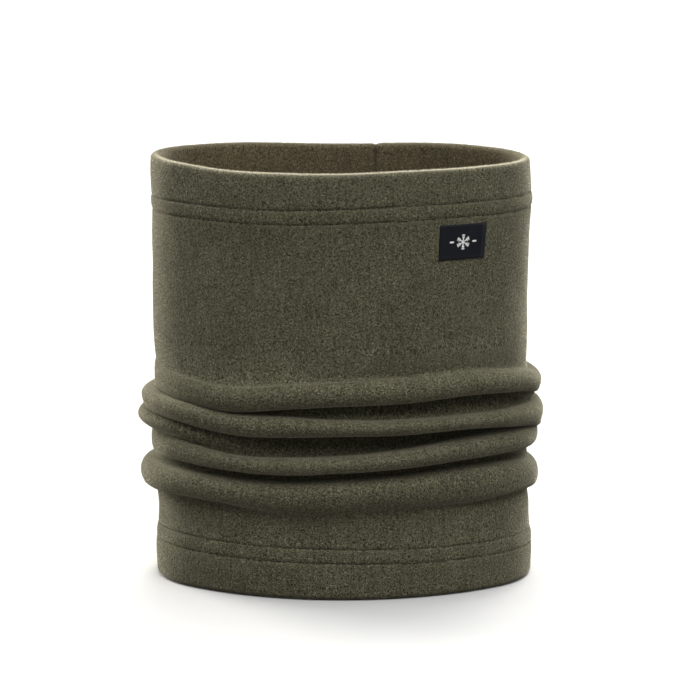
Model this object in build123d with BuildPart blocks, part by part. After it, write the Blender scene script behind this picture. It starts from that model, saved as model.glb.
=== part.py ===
"""Fleece neck gaiter: a soft tube that stands on its lower hem, with its slack gathered into four folds.

Millimetres. +Z is up, -Y is the front with the woven label, and the origin is the centre of the lower edge.
Every wall follows one oval outline, so each ring is a flat section swept round that outline. A section is
drawn with two coordinates: the distance outwards from the outline (inwards is negative) and the height.
"""

from build123d import *
import math
import os

# The tube as it stands
tube_width = 190.0
tube_depth = 124.0
tube_height = 210.0
end_radius = 44.0
cloth = 2.4

# The slack: the zone where the cloth is gathered, and the crests of its folds
gather_bottom = 39.0
gather_top = 108.0
fold_heights = (51.0, 69.0, 86.0, 101.0)
fold_reach = 7.0
valley_reach = 5.5
fold_radius = 2.7
fold_cloth = 3.8
body_gap = 0.3

# Hems: the edge is turned inside and held by a coverstitch, two needle rows outside and a looper inside
hem_turn = 26.5
needle_rows = (18.0, 25.0)
rim_radius = 1.6
needle_thread = 0.5
needle_groove = (0.35, 0.7)
looper_rows = (17.5, 25.5)
looper_thread = 0.35

# The seam at the back that closes the panel into a tube, overlocked, with its allowance inside
seam_x = 18.0
allowance_width = 6.0
allowance = 2 * cloth
seam_thread = 0.35
seam_needle_width = 0.6
seam_needle_margin = 0.6
hem_clearance = 0.8

# Woven label on the front, sewn down at both ends, with a snow crystal on a bar
label_x = (47.1, 70.5)
label_z = (166.0, 183.2)
label_thickness = 0.6
label_stitch_width = 0.5
label_stitch_proud = 0.2
label_stitch_margin = 1.4
mark_proud = 0.15
mark_bar = (15.0, 0.9)
mark_arm = (8.0, 0.9)
mark_tilts = (30.0, 90.0, 150.0)
mark_depth = 5.0

# Care label, blank, caught in the back seam and lying against the inside of the wall
care_width = 24.0
care_z = (118.0, 150.0)
care_thickness = 0.5

os.makedirs("parts", exist_ok=True)

# The outline: two end arcs and two face arcs, each tangent to the next
half_width = tube_width / 2
half_depth = tube_depth / 2
end_centre = half_width - end_radius
face_radius = (end_centre**2 + half_depth**2 - end_radius**2) / (2 * (half_depth - end_radius))
face_centre = face_radius - half_depth
end_angle = math.degrees(math.atan2(face_centre, end_centre))
face_angle = 180 - 2 * end_angle

with BuildLine() as outline:
    CenterArc((end_centre, 0), end_radius, 0, end_angle)
    CenterArc((0, -face_centre), face_radius, end_angle, face_angle)
    CenterArc((-end_centre, 0), end_radius, 180 - end_angle, 2 * end_angle)
    CenterArc((0, face_centre), face_radius, 180 + end_angle, face_angle)
    CenterArc((end_centre, 0), end_radius, -end_angle, end_angle)

SECTION = Plane(origin=(half_width, 0, 0), x_dir=(1, 0, 0), z_dir=(0, -1, 0))


def band(bottom, top, outer, inner, mode=Mode.ADD):
    """Draws a rectangle of the section between two heights and two distances from the outline."""
    with Locations(((outer + inner) / 2, (bottom + top) / 2)):
        Rectangle(outer - inner, top - bottom, mode=mode)


def folded_line(distance):
    """The points of the gathered cloth's line, from its lower end to its upper end."""
    valleys = [(low + high) / 2 for low, high in zip(fold_heights, fold_heights[1:])]
    bends = [(distance + fold_reach, height) for height in fold_heights]
    bends += [(distance - valley_reach, height) for height in valleys]
    bends.sort(key=lambda bend: bend[1])
    return [(distance, gather_bottom), *bends, (distance, gather_top)]


def folded_band(outer, inner):
    """Draws the section of the gathered cloth between two distances from its own line."""
    with BuildLine() as edges:
        low = FilletPolyline(*folded_line(outer), radius=fold_radius)
        high = FilletPolyline(*folded_line(inner), radius=fold_radius)
        Line(low @ 0, high @ 0)
        Line(low @ 1, high @ 1)
    make_face(edges.edges())


def sweep_round():
    """Sweeps the section that is waiting all the way round the outline."""
    sweep(path=outline.wire())


def keep_only(x_range, side):
    """Keeps what stands between two x positions at the back (side 1) or at the front (side -1)."""
    with Locations(((x_range[0] + x_range[1]) / 2, side * tube_depth / 2, tube_height / 2)):
        Box(x_range[1] - x_range[0], tube_depth, tube_height, mode=Mode.INTERSECT)


def ring(bottom, top, outer, inner):
    """A plain ring that follows the outline."""
    with BuildPart() as piece:
        with BuildSketch(SECTION):
            band(bottom, top, outer, inner)
        sweep_round()
    return piece


def strip(bottom, top, outer, inner, x_range, side=1):
    """A patch of such a ring, between two x positions."""
    with BuildPart() as piece:
        with BuildSketch(SECTION):
            band(bottom, top, outer, inner)
        sweep_round()
        keep_only(x_range, side)
    return piece


def folded_strip(outer, inner, x_range):
    """A patch at the back that follows the folds."""
    with BuildPart() as piece:
        with BuildSketch(SECTION):
            folded_band(outer, inner)
        sweep_round()
        keep_only(x_range, 1)
    return piece


def save(piece, name):
    """Labels a finished piece and writes its STEP file."""
    piece.part.label = name
    export_step(piece.part, f"parts/{name}.step")


# ---------------------------------------------------------------- the cloth panel
allowance_x = (seam_x - seam_needle_margin, seam_x + allowance_width - seam_needle_margin)
allowance_inner = -cloth - allowance
upper_bottom = gather_top + body_gap
upper_top = tube_height - hem_turn
lower_stretch = (hem_turn, gather_bottom)
upper_stretch = (upper_bottom, upper_top)
lower_seam = (hem_turn + hem_clearance, gather_bottom)
upper_seam = (upper_bottom, upper_top - hem_clearance)

for name, stretch, seam in (
    ("lower_tube", lower_stretch, lower_seam),
    ("upper_tube", upper_stretch, upper_seam),
):
    seam_allowance = strip(*seam, -cloth, allowance_inner, allowance_x)
    with BuildPart() as tube:
        with BuildSketch(SECTION):
            band(*stretch, 0, -cloth)
        sweep_round()
        add(seam_allowance.part)
    save(tube, name)

folded_inner = -fold_cloth - allowance
folded_allowance = folded_strip(-fold_cloth, folded_inner, allowance_x)
with BuildPart() as gathered_folds:
    with BuildSketch(SECTION):
        folded_band(0, -fold_cloth)
    sweep_round()
    add(folded_allowance.part)
save(gathered_folds, "gathered_folds")

# ---------------------------------------------------------------- hems and their coverstitch
for name, edge, inward in (("top_hem", tube_height, -1), ("bottom_hem", 0, 1)):
    raw_edge = edge + inward * hem_turn
    with BuildPart() as hem:
        with BuildSketch(SECTION) as hem_section:
            band(min(edge, raw_edge), max(edge, raw_edge), 0, -2 * cloth)
            rim_corners = hem_section.vertices().sort_by(Axis.Y, reverse=inward < 0)[:2]
            fillet(rim_corners, rim_radius)
            for row in needle_rows:
                middle = edge + inward * row
                half_groove = needle_groove[1] / 2
                band(middle - half_groove, middle + half_groove, 0, -needle_groove[0], mode=Mode.SUBTRACT)
        sweep_round()
    save(hem, name)

    for row, place in zip(needle_rows, ("first", "second")):
        with BuildPart() as needle_row:
            with BuildSketch(SECTION):
                with Locations((needle_thread / 2 - needle_groove[0], edge + inward * row)):
                    Circle(needle_thread / 2)
            sweep_round()
        save(needle_row, f"{name}_{place}_needle_thread")

    looper_ends = sorted(edge + inward * row for row in looper_rows)
    looper = ring(*looper_ends, -2 * cloth, -2 * cloth - looper_thread)
    save(looper, f"{name}_looper_thread")

# ---------------------------------------------------------------- threads of the back seam
needle_x = (seam_x - seam_needle_width / 2, seam_x + seam_needle_width / 2)
looper_x = (allowance_x[1], allowance_x[1] + seam_thread)

for name, seam in (("lower_seam", lower_seam), ("upper_seam", upper_seam)):
    save(strip(*seam, allowance_inner, allowance_inner - seam_thread, needle_x), f"{name}_needle_thread")
    save(strip(*seam, -cloth, allowance_inner, looper_x), f"{name}_looper_threads")
save(folded_strip(folded_inner, folded_inner - seam_thread, needle_x), "folds_seam_needle_thread")
save(folded_strip(-fold_cloth, folded_inner, looper_x), "folds_seam_looper_threads")

# ---------------------------------------------------------------- woven label
save(strip(*label_z, label_thickness, 0, label_x, side=-1), "woven_label")

stitch_z = (label_z[0] + label_stitch_margin, label_z[1] - label_stitch_margin)
stitch_top = label_thickness + label_stitch_proud
left_stitch_x = (label_x[0] + label_stitch_margin, label_x[0] + label_stitch_margin + label_stitch_width)
right_stitch_x = (label_x[1] - label_stitch_margin - label_stitch_width, label_x[1] - label_stitch_margin)
for side_name, stitch_x in (("left", left_stitch_x), ("right", right_stitch_x)):
    label_stitching = strip(*stitch_z, stitch_top, label_thickness, stitch_x, side=-1)
    save(label_stitching, f"label_{side_name}_stitching")

mark_x = sum(label_x) / 2
mark_turn = math.asin(mark_x / face_radius)
LABEL_FACE = Plane(
    origin=(mark_x, face_centre - face_radius * math.cos(mark_turn), sum(label_z) / 2),
    x_dir=(math.cos(mark_turn), math.sin(mark_turn), 0),
    z_dir=(math.sin(mark_turn), -math.cos(mark_turn), 0),
)
with BuildPart() as label_mark:
    with BuildSketch(SECTION):
        band(*label_z, label_thickness + mark_proud, label_thickness)
    sweep_round()
    with BuildSketch(LABEL_FACE):
        Rectangle(*mark_bar)
        for tilt in mark_tilts:
            Rectangle(*mark_arm, rotation=tilt)
    extrude(amount=mark_depth, both=True, mode=Mode.INTERSECT)
save(label_mark, "label_mark")

# ---------------------------------------------------------------- care label
care_x = (looper_x[1], looper_x[1] + care_width)
save(strip(*care_z, -cloth, -cloth - care_thickness, care_x), "care_label")
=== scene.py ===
"""Looks of the fleece neck gaiter: one sewn panel of microfleece with its hems, stitches, seam and labels.

Everything is worked out in metres. A place on the tube is given by its arc length round the oval outline,
from the middle of the front towards +X, its distance outwards from that outline, and its height.
"""

import math
import bpy
import numpy as np
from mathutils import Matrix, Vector, noise


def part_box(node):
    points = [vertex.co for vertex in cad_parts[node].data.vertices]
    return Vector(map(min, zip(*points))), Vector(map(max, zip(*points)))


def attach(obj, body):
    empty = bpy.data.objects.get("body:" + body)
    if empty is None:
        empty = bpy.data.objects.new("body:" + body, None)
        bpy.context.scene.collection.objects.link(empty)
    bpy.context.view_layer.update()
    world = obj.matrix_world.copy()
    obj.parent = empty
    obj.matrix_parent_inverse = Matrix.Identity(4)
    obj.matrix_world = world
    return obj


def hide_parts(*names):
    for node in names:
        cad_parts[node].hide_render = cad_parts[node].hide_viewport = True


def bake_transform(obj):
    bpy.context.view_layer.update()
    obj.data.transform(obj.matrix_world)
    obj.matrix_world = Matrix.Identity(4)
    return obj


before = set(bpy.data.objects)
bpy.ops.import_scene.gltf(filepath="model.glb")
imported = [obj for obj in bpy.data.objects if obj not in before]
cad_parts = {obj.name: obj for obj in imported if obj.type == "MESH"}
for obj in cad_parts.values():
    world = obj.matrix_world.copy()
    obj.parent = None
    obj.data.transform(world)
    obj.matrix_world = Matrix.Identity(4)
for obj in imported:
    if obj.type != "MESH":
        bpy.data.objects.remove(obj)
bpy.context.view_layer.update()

MM = 0.001
LOWER, UPPER = "lower_half", "upper_half"

# ---- sizes, from the frame where it has them
tube_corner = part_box("upper_tube")[1]
HALF_WIDTH, HALF_DEPTH = tube_corner.x, tube_corner.y
END_RADIUS = 44 * MM
RIM_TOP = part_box("top_hem")[1].z
RAW_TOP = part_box("top_hem")[0].z
RAW_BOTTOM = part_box("bottom_hem")[1].z
CLOTH = 2.35 * MM
LAYER_GAP = 0.2 * MM
RIM_RADIUS = CLOTH + LAYER_GAP / 2


def middle_of(node):
    """The middle of a CAD node's box."""
    low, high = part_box(node)
    return (low + high) / 2


TOP_ROWS = [middle_of(f"top_hem_{place}_needle_thread").z for place in ("first", "second")]
BOTTOM_ROWS = [middle_of(f"bottom_hem_{place}_needle_thread").z for place in ("first", "second")]
SEAM_X = middle_of("upper_seam_needle_thread").x

# ---- the outline: two end arcs and two face arcs
END_CENTRE = HALF_WIDTH - END_RADIUS
FACE_RADIUS = (END_CENTRE**2 + HALF_DEPTH**2 - END_RADIUS**2) / (2 * (HALF_DEPTH - END_RADIUS))
FACE_CENTRE = FACE_RADIUS - HALF_DEPTH
END_TURN = math.atan2(FACE_CENTRE, END_CENTRE)
FACE_TURN = math.pi / 2 - END_TURN
FACE_ARC, END_ARC = 2 * FACE_RADIUS * FACE_TURN, 2 * END_RADIUS * END_TURN
ARC_ENDS = np.cumsum([FACE_ARC / 2, END_ARC, FACE_ARC, END_ARC])
GIRTH = ARC_ENDS[3] + FACE_ARC / 2

# Each arc, from the middle of the front: its centre and radius, and the angle and arc length where it starts.
ARCS = np.array([
    (0, FACE_CENTRE, FACE_RADIUS, -math.pi / 2, 0),
    (END_CENTRE, 0, END_RADIUS, -END_TURN, ARC_ENDS[0]),
    (0, -FACE_CENTRE, FACE_RADIUS, END_TURN, ARC_ENDS[1]),
    (-END_CENTRE, 0, END_RADIUS, math.pi - END_TURN, ARC_ENDS[2]),
    (0, FACE_CENTRE, FACE_RADIUS, math.pi + END_TURN, ARC_ENDS[3]),
])


def outline(along):
    """Points and outward normals of the outline at these arc lengths from the middle of the front."""
    along = np.mod(np.asarray(along, float), GIRTH)
    arc = ARCS[np.searchsorted(ARC_ENDS, along, side="right")]
    radius, first_turn, first = arc[..., 2], arc[..., 3], arc[..., 4]
    turn = first_turn + (along - first) / radius
    normal = np.stack([np.cos(turn), np.sin(turn)], axis=-1)
    return normal * radius[..., None] + arc[..., :2], normal


def along_at_x(x, back=False):
    """The arc length of the place on a face that has this x."""
    from_front = FACE_RADIUS * math.asin(x / FACE_RADIUS)
    return GIRTH / 2 - from_front if back else from_front


SEAM = along_at_x(SEAM_X, back=True)


def from_seam(along):
    """Signed arc length from the back seam, positive towards the left end."""
    return np.mod(np.asarray(along) - SEAM + GIRTH / 2, GIRTH) - GIRTH / 2


# ---- the folds, by angle round the tube
# Angles in degrees of girth: 0 is the front, 90 the right end, 180 the back. Heights and reaches in mm.
STATIONS = (-90, -65, -42, -20, 0, 25, 50, 72, 90, 135, 180, 225)
CREASE_HEIGHTS = {
    "over_first": (107.8, 105.8, 103.0, 105.5, 107.5, 108.5, 109.5, 107.0, 103.0, 105.8, 105.5, 106.0),
    "under_first": (97.3, 95.3, 92.4, 95.0, 97.0, 98.0, 99.2, 97.6, 93.6, 95.5, 95.0, 95.5),
    "over_second": (96.0, 94.6, 91.4, 91.2, 90.2, 89.8, 89.8, 90.2, 90.0, 91.5, 92.0, 94.4),
    "under_second": (87.3, 85.6, 81.3, 80.9, 81.8, 81.9, 82.1, 80.0, 76.8, 80.5, 81.7, 83.4),
    "over_third": (76.2, 75.8, 71.4, 71.0, 72.0, 74.8, 77.6, 78.8, 76.6, 79.2, 77.5, 75.0),
    "under_third": (63.8, 63.6, 62.4, 61.9, 63.3, 65.2, 67.2, 67.6, 67.4, 65.8, 64.5, 63.5),
    "over_fourth": (59.4, 59.2, 58.0, 57.5, 58.9, 60.8, 62.8, 62.0, 58.6, 61.4, 60.1, 59.1),
    "under_fourth": (45.6, 46.4, 45.4, 42.6, 43.2, 45.4, 45.6, 46.6, 44.6, 45.0, 44.0, 44.8),
}
REACHES = {
    "first": (-1.6, 1.0, 3.8, 4.8, 5.0, 5.2, 5.4, 5.6, 4.7, 4.8, 4.2, 1.6),
    "under_first": (-1.5, -2.2, -3.6, -5.0, -6.2, -7.0, -7.0, -4.2, 2.0, -2.5, -3.2, -2.2),
    "first_floor": (-1.5, -2.2, -3.4, -4.4, -5.0, -5.6, -5.6, -2.6, 3.2, -1.8, -3.0, -2.2),
    "over_second": (-1.3, -2.0, -3.0, -3.6, -4.2, -4.6, -4.6, -3.4, 0.6, -2.0, -2.8, -2.0),
    "second": (4.7, 5.7, 5.2, 5.0, 5.0, 5.2, 5.4, 6.2, 6.0, 5.8, 5.4, 5.2),
    "under_second": (3.8, 0.0, -5.6, -9.0, -10.4, -10.8, -10.0, -5.0, 5.8, -3.6, -4.6, -2.6),
    "second_floor": (8.0, 5.2, -2.0, -8.0, -9.8, -10.4, -9.4, -4.4, 5.7, -3.6, -4.2, 1.2),
    "over_third": (-1.8, -2.6, -4.6, -7.4, -8.6, -8.8, -7.8, -4.0, 5.3, -2.8, -3.6, -3.0),
    "third": (0.7, 3.0, 4.6, 5.0, 5.2, 5.4, 5.6, 5.4, 3.8, 5.0, 4.8, 3.4),
    "under_third": (-1.2, -2.8, -5.4, -6.6, -6.8, -6.4, -5.8, -3.6, -1.0, -2.8, -3.4, -2.8),
    "fourth": (5.3, 4.9, 4.2, 3.8, 3.8, 4.0, 4.2, 4.2, 3.7, 4.6, 5.0, 5.4),
    "under_fourth": (-2.4, -2.6, -2.2, -1.6, -1.6, -1.8, -2.2, -2.2, -1.6, -2.2, -2.0, -2.2),
}

# How far the first fold melts into the wall above it, and the fourth into the wall below it, from 0 to 1.
FIRST_SOFTNESS = (0.0, 0.5, 1.0, 0.85, 0.3, 0.0, 0.0, 0.0, 0.0, 0.3, 0.5, 0.3)
FOURTH_SOFTNESS = (0.0, 0.0, 0.3, 0.9, 1.0, 0.8, 0.4, 0.1, 0.0, 0.3, 0.6, 0.3)

# In mm: the wall beside the folds, how far a fold's lip hangs, and the heights between which the folds lie.
WAIST = -1.8
LIP = 1.2
FOLDS_TOP, FOLDS_BOTTOM = 121, 34

# How far the rim stands above its CAD height, in mm at each station.
RIM_LIFTS = (2.4, 1.1, -0.85, -1.15, -1.1, -0.2, 0.1, 0.45, 0.5, 2.1, 0.5, 2.5)

# How far the top hem's stitch rows stand above their CAD height, in mm at each station.
TOP_ROW_LIFTS = (0.5, 0.2, -0.5, -0.8, 0.1, 1.1, 1.6, 1.9, 2.0, 1.4, 0.6, 0.6)

# How far the two ends of the tube stand out from the outline, in mm by height in mm.
LEAN_HEIGHTS = (0, 20, 36, 46, 104, 116, 134, 150, 165, 182, 191, 198, 206, 214)
LEFT_LEAN = (-1.4, -1.5, -1.7, 0, -0.2, -0.2, 0.45, 0.5, 0.35, 0.2, 0.6, 0.3, 0.2, 0.2)
RIGHT_LEAN = (1.1, 1.4, 1.4, 0, -0.2, -0.7, -1.1, -0.85, -0.45, 0.25, 0.2, -0.7, -1.2, -1.3)


def round_the_tube(values, angles):
    """A smooth closed curve through a value at each station, at these angles."""
    knots = np.array([STATIONS[-1] - 360, *STATIONS, STATIONS[0] + 360, STATIONS[1] + 360], float)
    heights = np.array([values[-1], *values, values[0], values[1]], float)
    slopes = np.zeros_like(heights)
    slopes[1:-1] = (heights[2:] - heights[:-2]) / (knots[2:] - knots[:-2])
    slopes[0], slopes[-1] = slopes[-3], slopes[2]
    angles = np.mod(np.asarray(angles, float) - knots[1], 360) + knots[1]
    i = np.clip(np.searchsorted(knots, angles, side="right") - 1, 0, len(knots) - 2)
    step = knots[i + 1] - knots[i]
    u = (angles - knots[i]) / step
    return ((2 * u**3 - 3 * u**2 + 1) * heights[i] + (u**3 - 2 * u**2 + u) * step * slopes[i]
            + (3 * u**2 - 2 * u**3) * heights[i + 1] + (u**3 - u**2) * step * slopes[i + 1])


def smoothstep(low, high, value):
    """0 below low, 1 above high, and smooth between."""
    u = np.clip((value - low) / (high - low), 0, 1)
    return u * u * (3 - 2 * u)


def bell(value, middle, width):
    """A smooth bump of height 1."""
    return np.exp(-(((value - middle) / width) ** 2))


def fold_controls(angles):
    """Control points (distance, height) in mm of the folds' line, from top to bottom, at each angle."""
    z = {name: round_the_tube(values, angles) for name, values in CREASE_HEIGHTS.items()}
    d = {name: round_the_tube(values, angles) for name, values in REACHES.items()}
    soft = round_the_tube(FOURTH_SOFTNESS, angles)
    waist = np.full_like(angles, WAIST)
    spread = round_the_tube(FIRST_SOFTNESS, angles) * (d["first"] - waist)
    halfway = z["over_first"] * 0.5 + FOLDS_TOP / 2
    points = []

    def put(distance, height):
        points.append((distance, height))

    put(waist, np.full_like(angles, FOLDS_TOP))
    put(waist + 0.12 * spread, halfway)
    put(waist - 0.5 + 0.42 * spread, z["over_first"] + 3.2)

    def roll(top, crest, under, pocket, lip=LIP, soft=0):
        """A fold from the top of its crest down and back under its lip to the crease below it."""
        height = top - under
        reach = crest * 1.12 + 0.3
        lip = lip * np.clip((reach - pocket) / 4, 0, 1)
        put(reach * 0.97, top - 0.20 * height)
        put(reach * 1.05, top - 0.50 * height)
        put(reach * 0.86 - 0.16 * reach * soft, under + (0.17 + 0.06 * soft) * height)
        put(pocket + (0.56 - 0.06 * soft) * (reach - pocket), under - lip + 2.0 * soft)
        put(pocket + 0.8 * soft, under + 0.3 - 1.4 * soft)

    def shelf(depth, top, crest, dip):
        """The start of a fold: out of its pocket, over a shelf that dips inwards, to the top of its crest."""
        put(depth, top - dip)
        put(depth + 0.62 * (crest - depth), top + 0.2)

    shelf(waist - 0.6 + 0.65 * spread, z["over_first"] + 0.9, d["first"], -0.5)
    roll(z["over_first"], d["first"], z["under_first"], d["under_first"])
    put(d["first_floor"], (z["under_first"] + z["over_second"]) / 2)
    mouth = np.clip((z["under_first"] - z["over_second"]) / 6, 0, 1)
    shelf(d["over_second"], z["over_second"], d["second"], 1.6 * mouth)
    roll(z["over_second"], d["second"], z["under_second"], d["under_second"])
    drop = z["under_second"] - z["over_third"]
    put(d["second_floor"], z["under_second"] - 0.3 * drop)
    put(d["second_floor"], z["under_second"] - 0.7 * drop)
    shelf(d["over_third"], z["over_third"], d["third"], 2.2 * np.clip(drop / 7, 0, 1))
    roll(z["over_third"], d["third"], z["under_third"], d["under_third"], 0.2)
    put(d["under_third"], (z["under_third"] + z["over_fourth"]) / 2)
    shelf(d["under_third"] + 0.4, z["over_fourth"], d["fourth"], 0.0)
    roll(z["over_fourth"], d["fourth"], z["under_fourth"], d["under_fourth"], 0.3, soft)
    put(waist + 0.1, z["under_fourth"] - 2.6 - 2.0 * soft)
    put(waist + 0.1, np.full_like(angles, FOLDS_BOTTOM + 3))
    put(waist + 0.1, np.full_like(angles, FOLDS_BOTTOM))
    return np.array([np.stack(np.broadcast_arrays(*point)) for point in points])


def spline_rows(controls, per_span):
    """Rows along a clamped cubic B-spline through these control points."""
    ends = [controls[:1]] * 2 + [controls] + [controls[-1:]] * 2
    held = np.concatenate(ends)
    rows = []
    for i in range(len(held) - 3):
        for u in np.arange(per_span) / per_span:
            weights = ((1 - u) ** 3, 3 * u**3 - 6 * u**2 + 4, -3 * u**3 + 3 * u**2 + 3 * u + 1, u**3)
            rows.append(sum(w * held[i + k] for k, w in enumerate(weights)) / 6)
    rows.append(held[-1])
    return np.array(rows)


# ---- the panel as rows of points round the tube
COLUMN_STEP, SEAM_STEP = 2.6 * MM, 0.6 * MM
ROWS_PER_SPAN, RIM_TURNS = 3, 9
SPLINE_TOP, SPLINE_BOTTOM = FOLDS_TOP * MM, FOLDS_BOTTOM * MM
HEM_SHARE = abs(RAW_TOP - RIM_TOP) + 0.5 * MM

# Unevenness of soft cloth: the spacing of its waves, of its dents and of the stitches' pull, and their sizes.
WAVE_LENGTH, DENT_LENGTH, PULL_LENGTH = 0.052, 0.017, 11 * MM
WAVE_SIZE, DENT_SIZE, FOLD_WAVE_SIZE = 1.3 * MM, 0.45 * MM, 0.9 * MM
NOTCH_DEPTH = 0.45 * MM

# Hems: how wide and deep the stitches press, and how far the cloth swells between and before their rows.
PRESS_WIDTH, PRESS_INSIDE, PRESS_OUTSIDE = 0.5 * MM, 0.6 * MM, 0.75 * MM
SWELL_BETWEEN, SWELL_BEFORE = 0.32 * MM, 0.22 * MM
WALL_ROW_STEP = 3.8 * MM


def column_places():
    """Arc lengths of the panel's columns, starting at the back seam and closer together near it."""
    fine_step = 0.05 * MM
    fine = np.arange(0, GIRTH, fine_step)
    gap = np.minimum(fine, GIRTH - fine)
    density = 1 / (SEAM_STEP + (COLUMN_STEP - SEAM_STEP) * smoothstep(2 * MM, 9 * MM, gap))
    count = np.concatenate([[0], np.cumsum(density * fine_step)])
    total = int(round(count[-1]))
    return SEAM + np.interp(np.arange(total) * count[-1] / total, count[:-1], fine)


def hem_depths(rows):
    """Distances from a hem's edge at which it has rows of points: close together at each stitch row."""
    depths = list(np.arange(4.6, 16, 2.6) * MM) + [sum(rows) / 2]
    depths += [row + step * MM for row in rows for step in (-1.7, -0.8, -0.35, 0, 0.35, 0.8, 1.7)]
    return sorted(depths)


def hem_lines(edge, inward, stitch_rows, outer_end, edge_lift, row_lift, pull):
    """One hem as (distance, height, thickness) rows: raw edge, up inside, round the rim, down outside."""
    rows = sorted(abs(row - edge) for row in stitch_rows)
    first, second = rows
    lines = []

    def pressed(depth):
        return sum(bell(depth, row, PRESS_WIDTH) for row in rows)

    def puffed(depth):
        among_rows = np.clip((depth - first) / (second - first), 0, 1)
        before_rows = np.clip((depth - 3 * MM) / (first - 3 * MM), 0, 1)
        return SWELL_BETWEEN * math.sin(math.pi * among_rows) + SWELL_BEFORE * math.sin(math.pi * before_rows)

    def add(side, depth, distance, press):
        """A row of points; press is how far the stitches press it in, and thin the cloth, at this depth."""
        if depth in rows:
            grooves[side].append(len(lines))
        lift = edge_lift + (row_lift - edge_lift) * smoothstep(2 * MM, first, depth)
        lines.append((distance, edge + inward * depth + lift, CLOTH - press))

    depths = hem_depths(rows)
    grooves = {"inner": [], "outer": []}
    for depth in [HEM_SHARE, *[x for x in reversed(depths) if x < HEM_SHARE - 0.4 * MM]]:
        press = PRESS_INSIDE * pressed(depth)
        add("inner", depth, -2 * RIM_RADIUS + press - 0.3 * puffed(depth), press)
    for turn in np.linspace(0, math.pi, RIM_TURNS + 1):
        lines.append((-RIM_RADIUS * (1 + math.cos(turn)),
                      edge + inward * RIM_RADIUS * (1 - math.sin(turn)) + edge_lift, CLOTH))
    for depth in depths:
        press = PRESS_OUTSIDE * pull * pressed(depth)
        add("outer", depth, puffed(depth) - press, press)
    stretch = abs(outer_end - edge) - depths[-1]
    steps = max(2, int(stretch / WALL_ROW_STEP))
    for share in np.arange(1, steps) / steps:
        lines.append((0, edge + inward * (depths[-1] + stretch * share) + row_lift * (1 - share), CLOTH))
    grooves["inner"].reverse()
    return lines, grooves


def between(grid, row, column, closed=False):
    """Values at fractional rows and columns of a grid; closed joins its last column to its first."""
    rows, columns = grid.shape[:2]
    j, i = np.clip(np.floor(row).astype(int), 0, rows - 2), np.floor(column).astype(int)
    i = i if closed else np.clip(i, 0, columns - 2)
    u, v = (column - i)[..., None], (row - j)[..., None]
    i, beside = i % columns, (i + 1) % columns
    return ((grid[j, i] * (1 - u) + grid[j, beside] * u) * (1 - v)
            + (grid[j + 1, i] * (1 - u) + grid[j + 1, beside] * u) * v)


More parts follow.
